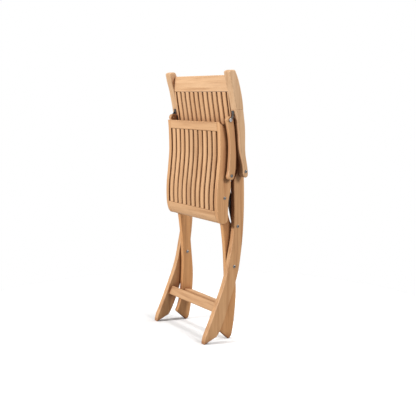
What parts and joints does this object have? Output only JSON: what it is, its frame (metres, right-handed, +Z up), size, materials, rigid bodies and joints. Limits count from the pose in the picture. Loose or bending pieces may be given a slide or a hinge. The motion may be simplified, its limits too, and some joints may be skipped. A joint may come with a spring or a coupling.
{
  "type": "folding armchair",
  "caption": "Folding slatted hardwood garden armchair with crossed legs, curved back, hinged seat and swinging armrests, stored folded and standing.",
  "frame": {"origin": "on the floor under the middle of the folded chair's bounding box", "axes": "+Z up along the folded chair; -Y the way the folded seat and the backrest's front face; +X across the chair along every pivot"},
  "size_m": [0.5512, 0.187, 1.1039],
  "materials": {
    "teak": "sanded, unfinished satin hardwood",
    "teak_light": "sanded, unfinished satin hardwood, paler boards",
    "steel": "satin stainless steel"
  },
  "bodies": {
    "back_frame": {"upright_left": "teak", "back_stile_left": "teak", "upright_right": "teak", "back_stile_right": "teak", "back_top_rail": "teak_light", "back_bottom_rail": "teak", "back_slat_01": "teak_light", "back_slat_02": "teak_light", "back_slat_03": "teak_light", "back_slat_04": "teak_light", "back_slat_05": "teak_light", "back_slat_06": "teak_light", "back_slat_07": "teak_light", "back_slat_08": "teak_light", "back_slat_09": "teak_light", "back_slat_10": "teak_light", "back_slat_11": "teak_light", "back_side_strip_left": "teak_light", "back_side_strip_right": "teak_light", "front_stretcher": "teak", "cross_bolt_left": "steel", "link_bolt_left": "steel", "armrest_bolt_left": "steel", "cross_bolt_right": "steel", "link_bolt_right": "steel", "armrest_bolt_right": "steel"},
    "rear_legs": {"rear_leg_left": "teak", "rear_leg_right": "teak", "rear_stretcher": "teak"},
    "seat": {"seat_rail_left": "teak", "seat_rail_right": "teak", "seat_front_rail": "teak_light", "seat_rear_rail": "teak_light", "seat_slat_01": "teak_light", "seat_slat_02": "teak_light", "seat_slat_03": "teak_light", "seat_slat_04": "teak_light", "seat_slat_05": "teak_light", "seat_slat_06": "teak_light", "seat_slat_07": "teak_light", "seat_slat_08": "teak_light", "seat_slat_09": "teak_light", "seat_slat_10": "teak_light", "seat_bolt_left": "steel", "seat_bolt_right": "steel"},
    "armrest_left": {"armrest_left": "teak_light", "arm_bracket_left": "steel", "bracket_bolt_left": "steel"},
    "arm_post_left": {"arm_post_left": "teak", "post_bolt_left": "steel"},
    "seat_link_left": {"seat_link_left": "steel"},
    "armrest_right": {"armrest_right": "teak_light", "arm_bracket_right": "steel", "bracket_bolt_right": "steel"},
    "arm_post_right": {"arm_post_right": "teak", "post_bolt_right": "steel"},
    "seat_link_right": {"seat_link_right": "steel"}
  },
  "joints": [
    {"name": "fold", "type": "hinge", "parent": "back_frame", "child": "rear_legs", "pos_m": [0, 0.0465, 0.31], "axis": [1, 0, 0], "range_deg": [0, 68]},
    {"name": "seat_fold", "type": "hinge", "parent": "rear_legs", "child": "seat", "pos_m": [0, 0.0035, 0.593], "axis": [1, 0, 0], "range_deg": [-137.52, 0]},
    {"name": "armrest_fold_left", "type": "hinge", "parent": "back_frame", "child": "armrest_left", "pos_m": [0, 0.0705, 0.702], "axis": [1, 0, 0], "range_deg": [0, 97.78]},
    {"name": "arm_post_fold_left", "type": "hinge", "parent": "armrest_left", "child": "arm_post_left", "pos_m": [0, 0.0115, 0.907], "axis": [1, 0, 0], "range_deg": [-103.69, 0]},
    {"name": "seat_link_fold_left", "type": "hinge", "parent": "back_frame", "child": "seat_link_left", "pos_m": [0, 0.0625, 0.475], "axis": [1, 0, 0], "range_deg": [0, 99.91]},
    {"name": "armrest_fold_right", "type": "hinge", "parent": "back_frame", "child": "armrest_right", "pos_m": [0, 0.0705, 0.702], "axis": [1, 0, 0], "range_deg": [0, 97.78]},
    {"name": "arm_post_fold_right", "type": "hinge", "parent": "armrest_right", "child": "arm_post_right", "pos_m": [0, 0.0115, 0.907], "axis": [1, 0, 0], "range_deg": [-103.69, 0]},
    {"name": "seat_link_fold_right", "type": "hinge", "parent": "back_frame", "child": "seat_link_right", "pos_m": [0, 0.0625, 0.475], "axis": [1, 0, 0], "range_deg": [0, 99.91]}
  ],
  "couplings": [
    {"joint": "seat_fold", "follows": "fold", "ratio": -2.022},
    {"joint": "armrest_fold_left", "follows": "fold", "ratio": 1.4376},
    {"joint": "arm_post_fold_left", "follows": "fold", "ratio": -1.5246},
    {"joint": "seat_link_fold_left", "follows": "fold", "ratio": 1.469},
    {"joint": "armrest_fold_right", "follows": "fold", "ratio": 1.4376},
    {"joint": "arm_post_fold_right", "follows": "fold", "ratio": -1.5246},
    {"joint": "seat_link_fold_right", "follows": "fold", "ratio": 1.469}
  ]
}
